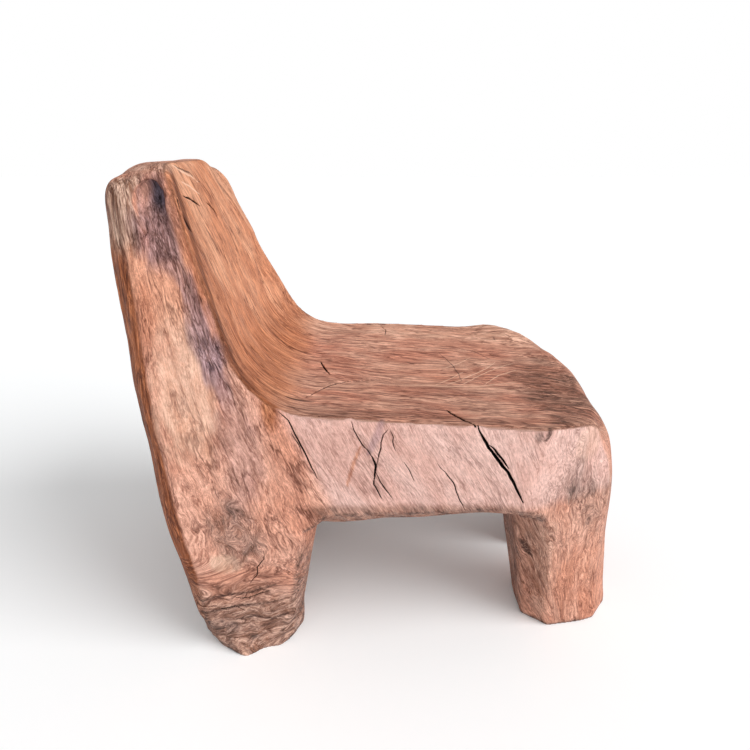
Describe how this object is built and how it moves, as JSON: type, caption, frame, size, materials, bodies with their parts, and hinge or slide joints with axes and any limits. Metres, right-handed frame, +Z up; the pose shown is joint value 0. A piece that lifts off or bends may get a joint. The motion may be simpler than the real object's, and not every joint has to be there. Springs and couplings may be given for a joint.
{
  "type": "carved wooden low chair",
  "caption": "Low four-legged chair carved from one hardwood log, with a leaning slab back that sweeps down into a hollowed seat and runs on as the rear legs.",
  "frame": {"origin": "on the floor, under the middle of the chair's bounding box", "axes": "+Z up; the chair faces -Y; +X is the sitter's left"},
  "size_m": [0.505, 0.7044, 0.68],
  "materials": {
    "hewn_wood": "hand-hewn red-brown hardwood, worn smooth by use, unvarnished"
  },
  "bodies": {
    "root": {"backrest": "hewn_wood", "seat": "hewn_wood", "front_leg_left": "hewn_wood", "front_leg_right": "hewn_wood", "rear_leg_left": "hewn_wood", "rear_leg_right": "hewn_wood"}
  },
  "joints": []
}
